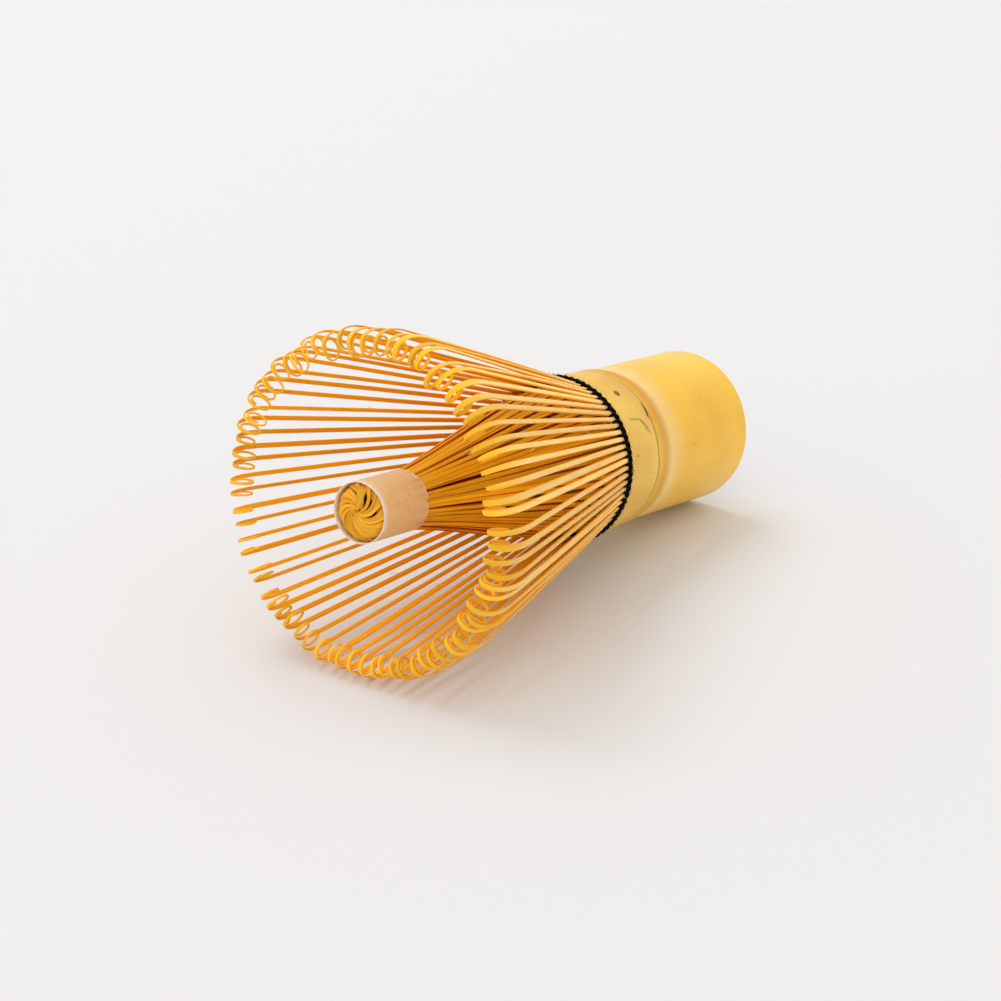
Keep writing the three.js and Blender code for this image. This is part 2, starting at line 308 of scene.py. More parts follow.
def culm_bamboo():
    """Polished bamboo culm: a waxy straw skin, tan at the node, paler and scraped matte at the neck."""
    material, tree, shader = new_material("polished_bamboo_culm")
    node = partial(add, tree)
    local = whisk_coordinates(tree)
    split = node(SEPARATE, local)
    height = split.outputs["Z"]
    # Long fibre streaks up the skin, 0.7 mm apart and 17 mm long.
    stretched = node(V_TIMES, local, (1500.0, 1500.0, 60.0))
    fibres = node(NOISE, named={"Vector": stretched, "Scale": 1.0, "Detail": 4.0, "Roughness": 0.6})
    # Broad clouding of the dried skin, about 12 mm.
    clouds = node(NOISE, named={"Vector": local, "Scale": 85.0, "Detail": 3.0})
    # Fine rings left by scraping, 0.4 mm apart, on the neck only.
    rings = node(V_TIMES, local, (140.0, 140.0, 2500.0))
    scraping = node(NOISE, named={"Vector": rings, "Scale": 1.0, "Detail": 3.0})

    skin = node("ShaderNodeValToRGB", node(RANGE, clouds, 0.3, 0.7, 0.0, 1.0))
    skin.color_ramp.elements[0].color = colour("#F4BA2A")
    skin.color_ramp.elements[1].color = colour("#FBCC38")
    neck = node("ShaderNodeValToRGB", node(RANGE, clouds, 0.3, 0.7, 0.0, 1.0))
    neck.color_ramp.elements[0].color = colour("#DCA838")
    neck.color_ramp.elements[1].color = colour("#F4CA58")
    # Height bands: handle, the raised tan node ring, and the scraped neck.
    wobble = node(TIMES_PLUS, clouds, 1.6 * MM, height)
    on_neck = node(RANGE, wobble, 30.0 * MM, 31.2 * MM, 0.0, 1.0)
    on_node = node(RANGE, wobble, 26.2 * MM, 28.4 * MM, 0.0, 1.0)
    past_node = node(RANGE, wobble, 29.2 * MM, 31.2 * MM, 1.0, 0.0)
    node_band = node(TIMES, on_node, past_node)
    # The waxy white bloom that bamboo carries on the skin just below a node.
    bloom = node(TIMES, node(SMOOTH_RANGE, wobble, 21.5 * MM, 26.2 * MM, 0.0, 1.0),
                 node(RANGE, wobble, 26.4 * MM, 27.6 * MM, 0.38, 0.0))
    skin = node(MIX_COLOUR, bloom, skin, colour("#F8E2BC"))
    body = node(MIX_COLOUR, on_neck, skin, neck)
    banded = node(MIX_COLOUR, node(TIMES, node_band, 0.75), body, colour("#CC8C22"))
    # The sheath scar: a thin brown line round the node.
    line_shift = node(NOISE, named={"Vector": local, "Scale": 160.0, "Detail": 2.0})
    line_height = node(TIMES_PLUS, line_shift, -0.9 * MM, height)
    line_off = node(ABSOLUTE, node(MINUS, line_height, SCAR_HEIGHT))
    line_depth = node(RANGE, line_off, 0.08 * MM, 0.3 * MM, 0.9, 0.0)
    line_breaks = node(RANGE, clouds, 0.35, 0.6, 0.5, 1.0)
    line_mix = node(TIMES, line_depth, line_breaks)
    lined = node(MIX_COLOUR, line_mix, banded, colour("#7A4218"))
    # Specks of sooty mould, 0.3 to 0.6 mm across.
    dots = node("ShaderNodeTexVoronoi", named={"Vector": local, "Scale": 260.0, "Randomness": 1.0})
    small = node(RANGE, dots.outputs["Distance"], 0.04, 0.075, 0.7, 0.0)
    lottery = node(SEPARATE, dots.outputs["Color"])
    chosen = node(ABOVE, lottery.outputs["X"], 0.8)
    speck = node(TIMES, small, chosen)
    specked = node(MIX_COLOUR, speck, lined, colour("#8E6A35"))
    # Old marks, each an ellipse: spots, a sooty dash by the scar and scratches on the neck, and two faint
    # spots on the handle. Each is degrees round, mm up, its size round and up in mm, turn, strength, colour.
    around = node(ARCTAN2, split.outputs["Y"], split.outputs["X"])
    ragged = node(NOISE, named={"Vector": local, "Scale": 1400.0, "Detail": 3.0})
    marked = specked
    for turn, up, size_round, size_up, slant, strength, tone in (
            (61.6, 35.0, 0.6, 0.66, 0, 0.95, "#74451C"), (43.0, 30.5, 1.6, 0.3, 8, 1.0, "#2E1A0C"),
            (38.8, 35.4, 0.26, 1.4, 10, 0.6, "#94805C"), (34.0, 33.2, 1.5, 0.28, -38, 0.75, "#80694A"),
            (28.5, 32.6, 1.1, 0.22, -55, 0.6, "#8A7450"), (13.3, 37.4, 0.3, 0.25, 0, 0.7, "#8A6A30"),
            (42.8, 12.5, 0.5, 0.3, 30, 0.4, "#C9A24A"), (10.1, 18.4, 0.35, 0.25, 0, 0.45, "#B98E3C")):
        aside = node(TIMES, node(MINUS, around, turn * DEGREE), NECK_RADIUS)
        above = node(MINUS, height, up * MM)
        turned = node("ShaderNodeVectorRotate", named={"Vector": node(COMBINE, aside, above, 0.0),
                                                       "Angle": slant * DEGREE}, rotation_type="Z_AXIS")
        shrunk = node(V_TIMES, turned, (1 / (size_round * MM), 1 / (size_up * MM), 0.0))
        reach = node(TIMES_PLUS, ragged, 0.9, node(V_LENGTH, shrunk).outputs["Value"])
        spot_mix = node(RANGE, reach, 1.35, 1.65, strength, 0.0)
        marked = node(MIX_COLOUR, spot_mix, marked, colour(tone))
    streak = node(RANGE, fibres, 0.35, 0.75, 0.0, 0.12)
    streaked = node(MIX_COLOUR, streak, marked, colour("#C48E34"))

    # Cut faces and the bore: pale flesh with darker fibre bundles, 0.55 mm apart, seen end on.
    zone = node("ShaderNodeAttribute", attribute_name="zone")
    flat = node(V_TIMES, local, (1.0, 1.0, 0.05))
    bundles = node("ShaderNodeTexVoronoi", named={"Vector": flat, "Scale": 1800.0})
    bundle = node(RANGE, bundles.outputs["Distance"], 0.1, 0.45, 0.75, 0.0)
    cut = node(MIX_COLOUR, bundle, colour("#EBCB8C"), colour("#A8742F"))
    surface = node(MIX_COLOUR, zone.outputs["Fac"], streaked, cut)

    relief = node(MIX, on_neck, fibres, scraping)
    bump = node("ShaderNodeBump", named={"Strength": 0.2, "Distance": 0.1 * MM, "Height": relief})
    gloss = node(MIX, on_neck, 0.36, 0.5)
    rough = node(MIX, zone.outputs["Fac"], gloss, 0.75)
    dress(tree, shader, Base_Color=surface, Roughness=rough, Normal=bump, Specular_IOR_Level=0.4,
          Coat_Weight=0.15, Coat_Roughness=0.3)
    return material


def cotton():
    """Twisted cotton thread, dyed black: matte, with a faint fuzz that catches light at its edges."""
    material, tree, shader = new_material("black_cotton_thread")
    node = partial(add, tree)
    spot = node("ShaderNodeTexCoord").outputs["Object"]
    # Single fibres are 0.02 mm; 0.08 mm is as fine as shows.
    fluff = node(NOISE, named={"Vector": spot, "Scale": 12000.0, "Detail": 2.0})
    tone = node("ShaderNodeValToRGB", fluff)
    tone.color_ramp.elements[0].color = colour("#020202")
    tone.color_ramp.elements[1].color = colour("#0A0807")
    bump = node("ShaderNodeBump", named={"Strength": 0.5, "Distance": 0.05 * MM, "Height": fluff})
    dress(tree, shader, Base_Color=tone, Roughness=0.95, Normal=bump, Specular_IOR_Level=0.1,
          Sheen_Weight=0.01, Sheen_Roughness=0.5)
    return material


def film():
    """Frosted polypropylene film: milky, with painted peach light over the strips that stands for the amber
    strips glowing through it, and white at its cut ends.
    """
    material, tree, shader = new_material("frosted_polypropylene_film")
    node = partial(add, tree)
    local = whisk_coordinates(tree)
    height = node(SEPARATE, local).outputs["Z"]
    clouds = node(NOISE, named={"Vector": local, "Scale": 260.0, "Detail": 2.0, "Distortion": 1.0})
    # Painted light: the peach tone stands for the glow of the amber strips seen through the film.
    tone = node("ShaderNodeValToRGB", node(RANGE, clouds, 0.3, 0.7, 0.0, 1.0))
    tone.color_ramp.elements[0].color = colour("#FFD088")
    tone.color_ramp.elements[1].color = colour("#FFDFAA")
    # Soft creases left by rolling, about 2 mm apart, with painted shade as a thin darker line along each.
    creases = node(NOISE, named={"Vector": local, "Scale": 520.0, "Detail": 1.0, "Distortion": 2.5})
    # The cut ends are whiter: partly the film's own white, where nothing amber lies behind it, and partly
    # painted light that lifts the shaded inside of the mouth.
    white_ends_and_painted_light = node(LARGER, node(RANGE, height, SLEEVE_END - 1.3 * MM, SLEEVE_END - 0.1 * MM, 0.0, 0.9),
                 node(RANGE, height, SLEEVE_START + 0.35 * MM, SLEEVE_START + 0.1 * MM, 0.0, 0.75))
    # Painted shade: near the lower end the strips lie against the film and show through it as blurred darker
    # amber streaks, fading over 4 mm.
    strip_streak_noise = node(NOISE, named={"Vector": node(V_TIMES, local, (900.0, 900.0, 60.0)), "Scale": 1.0,
                                 "Detail": 1.0})
    painted_strip_shade = node(TIMES, node(RANGE, strip_streak_noise, 0.45, 0.7, 0.0, 0.6),
                  node(RANGE, height, SLEEVE_START + 0.3 * MM, SLEEVE_START + 4.5 * MM, 1.0, 0.0))
    tone = node(MIX_COLOUR, painted_strip_shade, tone, colour("#D99A50"))
    crease_painted_shade = node(ABSOLUTE, node(MINUS, creases, 0.5))
    # Painted shade: a thin darker line along each crease.
    tone = node(MIX_COLOUR, node(RANGE, crease_painted_shade, 0.0, 0.035, 0.4, 0.0), tone, colour("#E8AC70"))
    milky = node(MIX_COLOUR, white_ends_and_painted_light, tone, colour("#FFFAF4"))
    frost = node(NOISE, named={"Vector": local, "Scale": 5000.0, "Detail": 2.0})
    rough = node(TIMES_PLUS, creases, 3.0, frost)
    bump = node("ShaderNodeBump", named={"Strength": 0.5, "Distance": 0.1 * MM, "Height": rough})
    dress(tree, shader, Base_Color=milky, Roughness=0.42, Normal=bump, IOR=1.3, Transmission_Weight=0.28)
    return material


def seamless_paper():
    """Matte pale paper with a very faint tooth."""
    material, tree, shader = new_material("white_paper_floor")
    node = partial(add, tree)
    spot = node("ShaderNodeTexCoord").outputs["Object"]
    tooth = node(NOISE, named={"Vector": spot, "Scale": 900.0, "Detail": 3.0})
    bump = node("ShaderNodeBump", named={"Strength": 0.08, "Distance": 0.2 * MM, "Height": tooth})
    dress(tree, shader, Base_Color=colour("#DFE0E2"), Roughness=0.8, Normal=bump)
    return material


# ---------------------------------------------------------------------------
# Tines
# ---------------------------------------------------------------------------

def outer_tine_tree():
    """The flared strips: straight from the thread, bent over a broad shoulder, and rolled up at the tip."""
    tree, given = geometry_tree("outer_tines", {
        "Tines": TINES,
        "Straight Steps": 14,
        "Curl Steps": 62,
        "Root Radius": 13.85 * MM,
        "Root Height": ROOT_HEIGHT,
        "Flare": RIM_FLARE,
        "Flare Up": 0.0195,
        "Flare Aside": -0.020,
        "Flare Jitter": 0.009,
        "Yaw Jitter": 0.009,
        "Crowding": 0.035,
        "Straight Length": 51.0 * MM,
        "Shoulder Radius": 18.0 * MM,
        "Shoulder Sweep": 55 * DEGREE,
        "Curl Radius": 1.85 * MM,
        "Tip Tightness": 0.6,
        "Curl Sweep": 560 * DEGREE,
        "Sideways Roll": 0.5 * MM,
        "Root Width": 0.78 * MM,
        "Shoulder Width": 0.98 * MM,
        "Tip Width": 0.56 * MM,
        "Tip Width Aside": 0.2,
        "Width Aside": 0.16,
        "Root Thickness": 0.7 * MM,
        "Tip Thickness": 0.27 * MM,
        "Splinter Density": 2.0e4,
        "Seed": 7,
    })
    size = {socket.name: socket for socket in given}
    node = partial(add, tree)
    straight, curl = size["Straight Steps"], size["Curl Steps"]
    per_tine = node(PLUS, straight, curl)
    count = node(TIMES, per_tine, size["Tines"])
    points = node("GeometryNodePoints", count)
    index = node("GeometryNodeInputIndex")
    turns = node(OVER, node(PLUS, index, 0.5), per_tine)
    tine = node(FLOOR, turns)
    step = node(MINUS, index, node(TIMES, tine, per_tine))
    angle = node(OVER, node(PLUS, tine, 0.5), size["Tines"])
    angle = node(TIMES, angle, 2 * math.pi)
    cosine = node(COSINE, angle)
    sine = node(SINE, angle)

    # What chance does to each tine: a flare, yaw, bow, curl size, sweep and roll of its own.
    draws = []
    for k, (low, high) in enumerate(((-1.0, 1.0), (-1.0, 1.0), (-1.0, 1.0), (0.87, 1.14), (0.86, 1.1),
                                     (-1.0, 1.0), (0.74, 1.12))):
        seed = node(PLUS, size["Seed"], float(k))
        draws.append(node(DRAW_NUMBER, named={"Min": low, "Max": high, "ID": tine, "Seed": seed}))
    flare_draw, yaw_draw, bow_draw, size_draw, sweep_draw, roll_draw, width_draw = draws
    circle = node(COMBINE, cosine, sine, size["Seed"])
    crowding = node(NOISE, named={"Vector": circle, "Scale": 3.2, "Detail": 1.0})
    crowd = node(MINUS, crowding, 0.5)
    yaw = node(TIMES_PLUS, crowd, size["Crowding"], node(TIMES, yaw_draw, size["Yaw Jitter"]))
    flare = node(TIMES_PLUS, sine, size["Flare Up"], size["Flare"])
    flare = node(TIMES_PLUS, cosine, size["Flare Aside"], flare)
    flare = node(TIMES_PLUS, flare_draw, size["Flare Jitter"], flare)

    # Lengths of the steps: growing along the straight part, then set by the bend's radius.
    odd = node(TIMES_PLUS, step, 2.0, 1.0)
    square = node(TIMES, straight, straight)
    straight_step = node(TIMES, node(OVER, odd, square), size["Straight Length"])
    sweep = node(TIMES, size["Curl Sweep"], sweep_draw)
    bend_step = node(MINUS, step, straight)
    sweep_step = node(OVER, sweep, curl)
    bent = node(TIMES, node(LARGER, bend_step, 0.0), sweep_step)
    half = node(PLUS, node(TIMES, sweep_step, 0.5), bent)
    curl_radius = node(TIMES, size["Curl Radius"], size_draw)
    opening = node(RANGE, half, 0.0, size["Shoulder Sweep"], 1.0, 0.0)
    ratio = node(OVER, size["Shoulder Radius"], curl_radius)
    widening = node(POWER, ratio, opening)
    tightening = node(RANGE, half, size["Shoulder Sweep"], size["Curl Sweep"], 1.0, size["Tip Tightness"])
    radius = node(TIMES, node(TIMES, curl_radius, widening), tightening)
    bend_length = node(TIMES, radius, sweep_step)
    bending = node(ABOVE, bend_step, -0.5)
    length = node(MIX, bending, straight_step, bend_length)

    # Headings: upright in the culm, out along the flare with a slight bow, then turning in over the bend.
    leaving = node(SMOOTH_RANGE, step, 0.0, 4.0, 0.0, 1.0)
    tilted = node(TIMES, flare, leaving)
    share = node(RANGE, step, 3.0, straight, 1.0, -1.0)
    bow = node(TIMES_PLUS, bow_draw, 0.022, 0.012)
    bowed = node(TIMES, node(TIMES, bow, share), leaving)
    resting = node(PLUS, tilted, bowed)
    middle_bend = node(TIMES, half, bending)
    heading = node(MINUS, middle_bend, resting)
    here = node(MINUS, bent, resting)

    # Steps add up to places, in the plane of each tine.
    run = node(COMBINE, node(TIMES, node(SINE, heading), -1.0), 0.0, node(COSINE, heading))
    run = node(V_SCALE, run, length)
    sums = node("GeometryNodeAccumulateField", named={"Value": run, "Group ID": tine},
                data_type="FLOAT_VECTOR")
    place = node(SEPARATE, sums.outputs["Trailing"])
    reach = node(PLUS, place.outputs["X"], size["Root Radius"])
    rise = node(PLUS, place.outputs["Z"], size["Root Height"])
    radial = node(COMBINE, cosine, sine, 0.0)
    tangent = node(COMBINE, node(TIMES, sine, -1.0), cosine, 0.0)
    upright = node(COMBINE, 0.0, 0.0, 1.0)
    rolled = node(TIMES, node(RANGE, bent, size["Shoulder Sweep"], size["Curl Sweep"], 0.0, 1.0),
                  node(TIMES, roll_draw, size["Sideways Roll"]))
    aside = node(TIMES_PLUS, yaw, place.outputs["Z"], rolled)
    spot = node(V_SCALE, radial, reach)
    spot = node(V_PLUS, spot, node(V_SCALE, upright, rise))
    spot = node(V_PLUS, spot, node(V_SCALE, tangent, aside))

    # Which way the rind faces, and how far each strip has turned about itself as it dried.
    out_part = node(V_SCALE, radial, node(COSINE, here))
    up_part = node(V_SCALE, upright, node(SINE, here))
    outward = node(V_PLUS, out_part, up_part)
    reached = node(OVER, step, per_tine)
    tilt = node(TIMES, node(PLUS, yaw_draw, bow_draw), node(TIMES, reached, 0.16))
    width = node(RANGE, step, 0.0, straight, size["Root Width"], size["Shoulder Width"])
    rolled_part = node(RANGE, bent, 10 * DEGREE, 140 * DEGREE, 0.0, 1.0)
    tip_width = node(TIMES, node(TIMES_PLUS, cosine, size["Tip Width Aside"], 1.0), size["Tip Width"])
    width = node(MIX, rolled_part, width, tip_width)
    uneven = node(TIMES_PLUS, cosine, size["Width Aside"], width_draw)
    uneven = node(MIX, node(RANGE, step, 0.0, straight, 0.25, 1.0), 1.0, uneven)
    width = node(TIMES, width, uneven)
    thickness = node(RANGE, step, 2.0, straight, size["Root Thickness"], size["Tip Thickness"])
    strips = ribbons(tree, points, tine, spot, outward, tilt, width, thickness, yaw_draw)

    # Splinters: a few fine fibres lifting off the strips, mostly off the straight part.
    straight_part = node(BELOW, node(RECALL_NUMBER, "travelled"), size["Straight Length"])
    lifting = node("GeometryNodeDistributePointsOnFaces", strips,
                   named={"Selection": straight_part, "Density": size["Splinter Density"],
                          "Seed": size["Seed"]})
    whim = node(DRAW_VECTOR, named={"Min": (-0.45, -0.45, -0.25), "Max": (0.45, 0.45, 0.45),
                                    "Seed": size["Seed"]})
    leaving_way = node(V_PLUS, node(RECALL_VECTOR, "course"), whim)
    aim = node("FunctionNodeAlignRotationToVector", named={"Vector": leaving_way}, axis="Z")
    fibre = node("GeometryNodeCurvePrimitiveBezierSegment", named={"Resolution": 3, "Start": (0.0, 0.0,
                                                                                              0.0),
                                                                   "Start Handle": (0.0, 0.0, 0.4 * MM),
                                                                   "End Handle": (0.15 * MM, 0.0, 0.8 * MM),
                                                                   "End": (0.4 * MM, 0.1 * MM, 1.1 * MM)})
    fibre = node("GeometryNodeCurveToMesh", fibre, node("GeometryNodeCurvePrimitiveCircle",
                                                        named={"Resolution": 3, "Radius": 0.05 * MM}),
                 named={"Fill Caps": True})
    stretch = node(DRAW_NUMBER, named={"Min": 0.7, "Max": 2.2, "Seed": size["Seed"]})
    splinters = node("GeometryNodeInstanceOnPoints", lifting,
                     named={"Instance": fibre, "Rotation": aim, "Scale": node(COMBINE, 1.0, 1.0, stretch)})
    splinters = node("GeometryNodeRealizeInstances", splinters)
    splinters = node(STORE_NUMBER, splinters, None, "rind", 0.8)
    finish_tree(tree, [strips, splinters], size["Material"])
    return tree


def ribbons(tree, points, strip, spot, outward, tilt, width, thickness, chance):
    """Joins each strip's points into a line and stands a section on it, its face turned outward."""
    node = partial(add, tree)
    marks = (("spot", spot, "FLOAT_VECTOR"), ("outward", outward, "FLOAT_VECTOR"), ("tilt", tilt, "FLOAT"),
             ("width", width, "FLOAT"), ("thickness", thickness, "FLOAT"), ("tine", chance, "FLOAT"))
    for name, value, kind in marks:
        points = node(STORE, points, None, name, value, data_type=kind)
    spot = node(RECALL_VECTOR, "spot")
    points = node("GeometryNodeSetPosition", points, named={"Position": spot})
    lines = node("GeometryNodePointsToCurves", points, named={"Curve Group ID": strip})

    # Two directions square to the line: across the strip, and out through its rind.
    course = node("GeometryNodeInputTangent")
    across = node(V_CROSS, course, node(RECALL_VECTOR, "outward"))
    across = node(V_UNIT, across)
    through = node(V_CROSS, across, course)
    tilt = node(RECALL_NUMBER, "tilt")
    cosine = node(COSINE, tilt)
    sine = node(SINE, tilt)
    wide = node(V_PLUS, node(V_SCALE, across, cosine), node(V_SCALE, through, sine))
    deep = node(V_MINUS, node(V_SCALE, through, cosine), node(V_SCALE, across, sine))
    travelled = node("GeometryNodeSplineParameter").outputs["Length"]
    marks = (("wide", wide, "FLOAT_VECTOR"), ("deep", deep, "FLOAT_VECTOR"),
             ("course", course, "FLOAT_VECTOR"), ("travelled", travelled, "FLOAT"),
             ("along", node("GeometryNodeSplineParameter").outputs["Factor"], "FLOAT"))
    for name, value, kind in marks:
        lines = node(STORE, lines, None, name, value, data_type=kind)

    # The section: a rectangle one unit each way with its corners taken off.
    section = node("GeometryNodeCurvePrimitiveQuadrilateral", named={"Width": 1.0, "Height": 1.0})
    section = node("GeometryNodeFilletCurve", section, named={"Count": 2, "Radius": 0.27,
                                                              "Limit Radius": True}, mode="POLY")
    section = node(STORE_VECTOR, section, None, "section", node("GeometryNodeInputPosition"))
    mesh = node("GeometryNodeCurveToMesh", lines, section, named={"Fill Caps": True})
    part = node(SEPARATE, node(RECALL_VECTOR, "section"))
    aside = node(TIMES, part.outputs["X"], node(RECALL_NUMBER, "width"))
    outside = node(TIMES, part.outputs["Y"], node(RECALL_NUMBER, "thickness"))
    side = node(V_SCALE, node(RECALL_VECTOR, "wide"), aside)
    face = node(V_SCALE, node(RECALL_VECTOR, "deep"), outside)
    place = node(V_PLUS, spot, node(V_PLUS, side, face))
    mesh = node("GeometryNodeSetPosition", mesh, named={"Position": place})

    # The grain runs along the strip and starts somewhere else on each; the rind is the outer face.
    grain = node(COMBINE, node(PLUS, aside, node(RECALL_NUMBER, "tine")), outside,
                 node(RECALL_NUMBER, "travelled"))
    mesh = node(STORE_VECTOR, mesh, None, "grain", grain)
    rind = node(RANGE, part.outputs["Y"], 0.3, 0.5, 0.0, 1.0)
    mesh = node(STORE_NUMBER, mesh, None, "rind", rind)
    return node("GeometryNodeSetShadeSmooth", mesh)


def inner_tine_tree():
    """The inner strips: gathered from the neck into the sleeve, and folded over each other at its mouth."""
    tree, given = geometry_tree("inner_tines", {
        "Tines": TINES,
        "Steps": 56,
        "Root Radius": 12.8 * MM,
        "Root Height": ROOT_HEIGHT,
        "Bulge": 1.0 * MM,
        "Bundle Radius": 4.62 * MM,
        "Bundle Height": 84.5 * MM,
        "Fold Height": 95.0 * MM,
        "Fold Rise": 0.95 * MM,
        "Fold Share": 0.42,
        "Swirl": 75 * DEGREE,
        "Eye Aside": -1.0 * MM,
        "Root Width": 1.0 * MM,
        "Bundle Width": 0.8 * MM,
        "Fold Width": 0.93 * MM,
        "Tip Width": 0.5 * MM,
        "Thickness": 0.4 * MM,
        "Broad One": 18,
        "Seed": 21,
    })
    size = {socket.name: socket for socket in given}
    node = partial(add, tree)
    count = node(TIMES, size["Steps"], size["Tines"])
    points = node("GeometryNodePoints", count)
    index = node("GeometryNodeInputIndex")
    turns = node(OVER, node(PLUS, index, 0.5), size["Steps"])
    tine = node(FLOOR, turns)
    step = node(MINUS, index, node(TIMES, tine, size["Steps"]))
    share = node(OVER, step, node(MINUS, size["Steps"], 1.0))
    draws = []
    for k, (low, high) in enumerate(((-1.0, 1.0), (0.0, 1.0), (0.0, 1.0), (-1.0, 1.0))):
        seed = node(PLUS, size["Seed"], float(k))
        draws.append(node(DRAW_NUMBER, named={"Min": low, "Max": high, "ID": tine, "Seed": seed}))
    yaw_draw, depth_draw, reach_draw, tilt_draw = draws

    # From the neck to the fold: in over a gentle S, then straight through the sleeve.
    climb = node(RANGE, share, 0.0, node(MINUS, 1.0, size["Fold Share"]), 0.0, 1.0)
    folding = node(RANGE, share, node(MINUS, 1.0, size["Fold Share"]), 1.0, 0.0, 1.0)
    rise = node(RANGE, climb, 0.0, 1.0, size["Root Height"], size["Fold Height"])
    gather = node(RANGE, rise, size["Root Height"], size["Bundle Height"], 0.0, 1.0)
    eased = node(SMOOTH_RANGE, rise, size["Root Height"], size["Bundle Height"], 0.0, 1.0)
    gathered = node(MIX, 0.12, gather, eased)
    bundle = node(TIMES_PLUS, depth_draw, -0.5 * MM, size["Bundle Radius"])
    cone = node(MIX, gathered, size["Root Radius"], bundle)
    closing = node(POWER, node(MINUS, 1.0, gather), 2.0)
    belly = node(TIMES, node(TIMES, gather, closing), 6.75)
    cone = node(TIMES_PLUS, belly, size["Bulge"], cone)

    # Over the mouth: every third strip leans in and swirls to an off-centre eye; the others stop short.
    on_top = node(BELOW, node(MODULO, tine, 3.0), 0.5)
    long_one = node(MIX, on_top, 0.5, node(RANGE, reach_draw, 0.0, 1.0, 0.84, 0.99))
    fold = node(TIMES, folding, long_one)
    lean = node(COSINE, node(TIMES, fold, math.pi / 2))
    reach = node(TIMES, cone, lean)
    inward = node(MINUS, 1.0, lean)
    left = node(MINUS, 1.0, fold)
    arch = node(MINUS, 1.0, node(POWER, left, 3.0))
    lift = node(TIMES, node(RANGE, on_top, 0.0, 1.0, 0.1, 1.0), size["Fold Rise"])
    lift = node(TIMES_PLUS, depth_draw, 0.3 * MM, lift)
    broad = node(NEAR, tine, size["Broad One"], 0.5)
    lift = node(TIMES_PLUS, broad, 0.35 * MM, lift)
    dip = node(TIMES, node(POWER, fold, 4.0), 0.7 * MM)
    height = node(TIMES_PLUS, arch, lift, rise)
    height = node(MINUS, height, dip)

    angle = node(OVER, node(PLUS, tine, 0.5), size["Tines"])
    angle = node(TIMES, angle, 2 * math.pi)
    stray = node(TIMES, yaw_draw, node(TIMES, gather, 0.11))
    angle = node(PLUS, angle, stray)
    swirl = node(TIMES, size["Swirl"], node(RANGE, broad, 0.0, 1.0, 1.0, 0.3))
    angle = node(MINUS, angle, node(TIMES, inward, swirl))
    cosine = node(COSINE, angle)
    sine = node(SINE, angle)
    radial = node(COMBINE, cosine, sine, 0.0)
    spot = node(V_SCALE, radial, reach)
    spot = node(V_PLUS, spot, node(COMBINE, 0.0, 0.0, height))
    moved = node(V_SCALE, tuple(BUNDLE_SHIFT), gathered)
    spot = node(V_PLUS, spot, moved)
    eye = node(COMBINE, node(TIMES, inward, size["Eye Aside"]), 0.0, 0.0)
    spot = node(V_PLUS, spot, eye)

    over = node(RANGE, fold, 0.0, 0.5, 0.0, 1.0)
    outward = node(MIX_VECTOR, over, radial, (0.0, 0.0, 1.0))
    laid = node(TIMES, tilt_draw, 0.42)
    shingled = node(TIMES_PLUS, over, node(RANGE, broad, 0.0, 1.0, -0.8, -0.1), laid)
    tilt = node(TIMES, shingled, gathered)
    width = node(MIX, gathered, size["Root Width"], size["Bundle Width"])
    splayed = node(TIMES, node(RANGE, fold, 0.0, 0.25, 0.0, 1.0), on_top)
    width = node(MIX, splayed, width, size["Fold Width"])
    width = node(MIX, node(RANGE, fold, 0.25, 1.0, 0.0, 1.0), width, size["Tip Width"])
    spread = node(TIMES, broad, node(RANGE, fold, 0.0, 0.2, 0.0, 1.0))
    width = node(TIMES, width, node(RANGE, spread, 0.0, 1.0, 1.0, 1.75))
    strips = ribbons(tree, points, tine, spot, outward, tilt, width, size["Thickness"], yaw_draw)
    finish_tree(tree, [strips], size["Material"])
    return tree


# ---------------------------------------------------------------------------
# Thread
# ---------------------------------------------------------------------------

